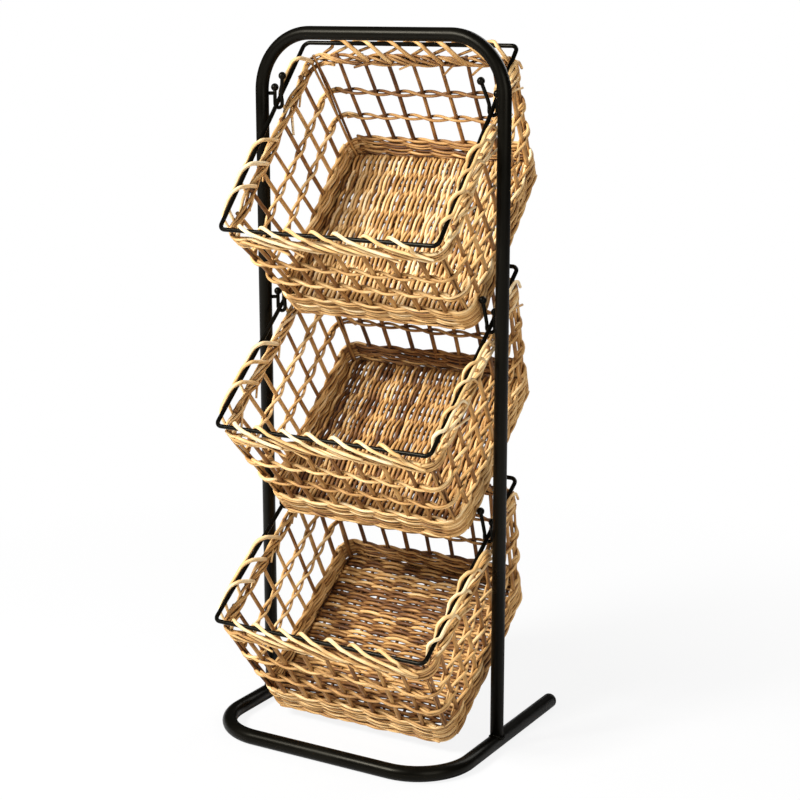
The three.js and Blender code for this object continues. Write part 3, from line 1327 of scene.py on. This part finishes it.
    def corner(self, x_side: int, y_side: int, share: float, inset: float) -> Vector:
        """A point near the edge where two walls meet.

        Args:
            x_side: -1 for left, 1 for right.
            y_side: -1 for front, 1 for back.
            share: Share of the basket's depth.
            inset: Distance in from both walls.

        Returns:
            The point in the basket's own frame.
        """
        x = RIM.width / 2 + (self.floor_width - RIM.width) / 2 * share
        y = RIM.depth / 2 + (self.floor_depth - RIM.depth) / 2 * share
        middle = self.floor_shift * share
        return Vector((x_side * (x - inset), middle + y_side * (y - inset), -self.depth * share))

    def turn_places(self) -> list[Triple]:
        """The arcs of weavers at a corner: border, rows, band and foot.

        Returns:
            Share of the depth, bulge and tone of each arc.
        """
        border, apart = self.border_drop / self.depth, 0.026
        end, first = 0.975, 0.3
        places = [(border + apart * k, 2.0, 0.56) for k in (-1, 0, 1, 2)]
        places += [(share + step, 3.6, 0.5) for share in self.rows for step in (-0.01, 0.01)]
        for course in range(self.band_courses):
            place = self.band_top + (end - self.band_top) * (course + first) / self.band_courses
            places += [(place, 1.4, 0.56), (place + 0.012, 2.2, 0.46)]
        return [*places, (0.972, 2.4, 0.5), (0.982, 1.6, 0.52)]

    def turns(self, shape: Shape, x_side: int, y_side: int) -> None:
        """The weavers of both walls where they go round a corner.

        Args:
            shape: The post's mesh.
            x_side: -1 for left, 1 for right.
            y_side: -1 for front, 1 for back.
        """
        steps, arm_lengths = 4, (10, 28)
        uneven, stray, ripple = 0.008, 0.8, 0.6
        flank = self.corner_round - 1.5
        for place, bulge, tone in self.turn_places():
            share = place + self.dice.uniform(-uneven, uneven)
            centre = self.corner(x_side, y_side, share, self.corner_round)
            reach = self.corner_round + bulge + self.dice.uniform(-stray, stray)
            arms = [self.dice.uniform(*arm_lengths), self.dice.uniform(*arm_lengths)]
            marks = [Vector((flank, -arms[0], self.dice.uniform(-1, 1)))]
            for k in range(steps + 1):
                angle = k * math.pi / (2 * steps)
                lift = self.dice.uniform(-ripple, ripple)
                marks.append(Vector((reach * math.cos(angle), reach * math.sin(angle), lift)))
            marks.append(Vector((-arms[1], flank, self.dice.uniform(-1, 1))))
            turned = [Vector((x_side * mark.x, y_side * mark.y, mark.z)) for mark in marks]
            path = [centre + mark for mark in smooth(turned, steps=3)]
            self.lay(shape, path, replace(CORNER_TURN, tone=tone))

    def bundle(self, shape: Shape, x_side: int, y_side: int) -> None:
        """The stakes that twist together in a corner.

        Args:
            shape: The post's mesh.
            x_side: -1 for left, 1 for right.
            y_side: -1 for front, 1 for back.
        """
        rods, steps, start, short = 3, 20, 22, 30
        inset, twist, wave = 0.35 * self.corner_round, 1.4, 300
        uneven, tight, loose = 0.4, 2.6, 1.6
        for rod in range(rods):
            angle = 2 * math.pi * rod / rods + self.dice.uniform(-uneven, uneven)
            wander, other = self.sway(POST.wander), self.sway(POST.wander)
            path = []
            for i in range(steps + 1):
                share = (start + (self.depth - short) * i / steps) / self.depth
                spread = tight + loose * (1 - share)
                turn = angle + twist * share
                point = self.corner(x_side, y_side, share, inset)
                point.x += spread * math.cos(turn) + wander(wave * share)
                point.y += spread * math.sin(turn) + other(wave * share)
                path.append(point)
            self.lay(shape, path, POST)

    def posts(self) -> None:
        """The bundles of stakes in the corners, with the weavers that go round them."""
        for x_name, x_side in SIDES:
            for y_name, y_side in ENDS:
                shape = Shape()
                self.bundle(shape, x_side, y_side)
                self.turns(shape, x_side, y_side)
                where = f"post_{y_name}_{x_name}"
                self.done(shape, f"{where}_willow", where, Slot.POSTS)

    def floor(self) -> None:
        """The floor: weavers packed over and under a few thick sticks."""
        edge_gap, weaver_pitch, half_steps = 6, 5.1, 12
        heights, swell_size, most_slip = (4.0, 5.0), 0.7, 0.35
        along_y = self.plan.weave is Weave.FRONT_TO_BACK
        rise = self.floor_rise
        back_in = RIM.depth / 2 - self.floor_shift - self.floor_depth / 2
        grown = rise * back_in / self.depth / 2
        side_grown = rise * (RIM.width - self.floor_width) / 2 / self.depth
        half_x = self.floor_width / 2 + side_grown - edge_gap
        half_y = self.floor_depth / 2 + grown - edge_gap
        across, along = (half_x, half_y) if along_y else (half_y, half_x)

        def point(a: float, b: float, up: float) -> Vector:
            """Place on the floor: across the weavers, along them and up."""
            x, y = (a, b) if along_y else (b, a)
            return Vector((x, y + self.floor_shift + grown, rise + up - self.depth))

        shape = Shape()
        sticks = 8 if along_y else 9
        pitch = 2 * along / sticks
        places = [across * t / half_steps for t in range(-half_steps, half_steps + 1)]
        for k in range(sticks):
            b = -along + pitch * (k + 0.5)
            wander = self.sway(STICK.wander)
            self.lay(shape, [point(a, b + wander(a), 0.0) for a in places], STICK)
        weaver = replace(WEAVER, tone=self.plan.floor_tone)
        weavers = int(2 * across / weaver_pitch)
        for k in range(weavers):
            a = -across + 2 * across * (k + 0.5) / weavers
            wander, swell = self.sway(weaver.wander), self.sway(swell_size)
            height, slip = self.dice.uniform(*heights), self.dice.uniform(-most_slip, most_slip)
            path = []
            for b in spaced(-along, along, steps=8 * sticks):
                turn = math.pi * (b + along) / pitch + k * math.pi + slip
                path.append(point(a + wander(b), b, (height + swell(2 * b)) * math.sin(turn)))
            tone = self.tone(weaver)
            shape.rod(path, self.thickness(weaver), tone, taper=weaver.taper)
        self.done(shape, "floor_willow", "floor")

    def build(self) -> None:
        """Makes every piece of the basket."""
        self.rim()
        for plan in self.walls():
            self.wall(plan)
        self.posts()
        self.floor()


@dataclass(frozen=True)
class Lamp:
    """A soft square lamp.

    Attributes:
        name: Its name.
        place: Where it stands, in metres.
        size: Its width in metres.
        power: Its power in watts.
    """

    name: str
    place: Triple
    size: float
    power: float


@dataclass(frozen=True)
class Studio:
    """The pale floor, the lamps and the camera of the photograph.

    Attributes:
        plane: Y of the uprights.
        lamps: The lamps.
        lamp_aim: The point that they face, in metres.
        floor_half: Half of the floor's width, in metres.
        fill: Strength of the surroundings as light.
        white: Added to it where the camera sees the surroundings.
        mirrored: Added to it where a surface reflects them.
        turn: How far the camera stands round to the right, in degrees.
        dip: How far it looks down, in degrees.
        aim_x: X of the point in the picture's middle.
        aim_z: Z of that point, in the uprights' plane.
        distance: The camera's distance from it.
        focal: Focal length in pixels of the picture.
        picture: Width of the picture in pixels.
        sensor: Width of the camera's sensor.
    """

    plane: float
    lamps: tuple[Lamp, ...] = (
        Lamp("key", (-1.6, -3.0, 3.0), 1.1, 292.0),
        Lamp("fill", (3.0, -2.2, 1.9), 2.0, 58.0),
        Lamp("rear", (0.6, 2.8, 2.8), 2.2, 75.0),
    )
    lamp_aim: Triple = (0.0, 0.0, 0.7)
    floor_half: float = 14.0
    fill: float = 0.055
    white: float = 0.945
    mirrored: float = -0.02
    turn: float = 30.4
    dip: float = 12.733
    aim_x: float = 44.3
    aim_z: float = 645.1
    distance: float = 3315.48
    focal: float = 1785.96
    picture: float = 800
    sensor: float = 36.0

    def floor_material(self) -> bpy.types.Material:
        """A pale matt floor that fades to plain white for the camera, away from the rack.

        Returns:
            The material.
        """
        material = bpy.data.materials.new("studio_floor")
        material.use_nodes = True
        g = Graph(material.node_tree)
        shader = material.node_tree.nodes["Principled BSDF"]
        g.fill(shader, {"Base Color": (0.72, 0.72, 0.72, 1.0), "Roughness": 0.9})
        glow = g.add("ShaderNodeEmission", {"Strength": 1.0})
        rays = g.add("ShaderNodeLightPath")
        place = g.add("ShaderNodeTexCoord")
        length = g.add("ShaderNodeVectorMath", operation="LENGTH")
        g.link(place.outputs["Object"], length.inputs[0])
        near_to_far = {"From Min": 0.5, "From Max": 1.7, "To Min": 0.86, "To Max": 1.0}
        fade = g.add("ShaderNodeMapRange", near_to_far)
        g.link(length.outputs["Value"], fade.inputs["Value"])
        mix = g.add("ShaderNodeMixShader")
        shown = g.math("MULTIPLY", rays.outputs["Is Camera Ray"], fade.outputs[0])
        g.link(shown, mix.inputs[0])
        g.link(shader.outputs[0], mix.inputs[1])
        g.link(glow.outputs[0], mix.inputs[2])
        g.link(mix.outputs[0], material.node_tree.nodes["Material Output"].inputs["Surface"])
        return material

    def backdrop(self) -> None:
        """A pale floor that reads white to the camera and keeps a soft shadow."""
        bm = bmesh.new()
        bmesh.ops.create_grid(bm, x_segments=1, y_segments=1, size=self.floor_half)
        mesh = bpy.data.meshes.new("floor")
        bm.to_mesh(mesh)
        bm.free()
        mesh.materials.append(self.floor_material())
        add_object("floor", mesh)

    def world(self) -> None:
        """White to the camera, dimmer in reflections, and a plain fill for the rest."""
        world = bpy.data.worlds.new("studio")
        bpy.context.scene.world = world
        world.use_nodes = True
        g = Graph(world.node_tree)
        background = world.node_tree.nodes["Background"]
        g.fill(background, {"Color": (1.0, 1.0, 1.0, 1.0)})
        rays = g.add("ShaderNodeLightPath")
        seen = g.math("MULTIPLY", rays.outputs["Is Camera Ray"], self.white)
        mirrored = g.math("MULTIPLY", rays.outputs["Is Glossy Ray"], self.mirrored)
        strength = g.math("ADD", g.math("ADD", seen, mirrored), self.fill)
        g.link(strength, background.inputs["Strength"])

    def light(self, lamp: Lamp) -> None:
        """Sets up a lamp.

        Args:
            lamp: The lamp.
        """
        data = bpy.data.lights.new(lamp.name, "AREA")
        data.size = lamp.size
        data.energy = lamp.power
        place = Vector(lamp.place)
        light = add_object(lamp.name, data)
        light.location = place
        light.rotation_euler = (Vector(self.lamp_aim) - place).to_track_quat("-Z", "Y").to_euler()

    def camera(self) -> None:
        """A long lens from the front right, a little above the rack."""
        turn, dip = math.radians(self.turn), math.radians(self.dip)
        forward = Vector(
            (
                -math.sin(turn) * math.cos(dip),
                math.cos(turn) * math.cos(dip),
                -math.sin(dip),
            )
        )
        aim = Vector((self.aim_x, self.plane, self.aim_z))
        data = bpy.data.cameras.new("camera")
        data.sensor_width = self.sensor
        data.lens = self.sensor * self.focal / self.picture
        data.clip_end = 60.0
        camera = add_object("camera", data)
        camera.location = (aim - forward * self.distance) * MM
        camera.rotation_euler = forward.to_track_quat("-Z", "Y").to_euler()
        bpy.context.scene.camera = camera

    def build(self) -> None:
        """Sets up the stage."""
        self.backdrop()
        self.world()
        for lamp in self.lamps:
            self.light(lamp)
        self.camera()
        bpy.context.scene.view_settings.view_transform = "Standard"


def main() -> None:
    """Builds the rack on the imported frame."""
    joints = {joint["child"]: joint for joint in frame["record"]["behaviour"]["joints"]}
    pivots = {plan.body: Vector(joints[plan.body.value]["pos_m"]) / MM for plan in BASKETS}
    plane = pivots[Body.TOP].y - HOOK.behind
    coat = coat_group()
    steel = SteelMaterial(STEEL, coat).build()
    rack = Rack(steel, SteelMaterial(CAP_FINISH, coat).build(), plane)
    rack.base()
    rack.uprights()
    rack.leg_caps()
    willow = WillowMaterial(WILLOW).build()
    for plan in BASKETS:
        rack.hooks(plan, pivots[plan.body].z)
        Basket(plan, pivots[plan.body], steel, willow).build()
    Studio(plane).build()


if __name__ == "__main__":
    logging.basicConfig(level=logging.INFO)
    main()
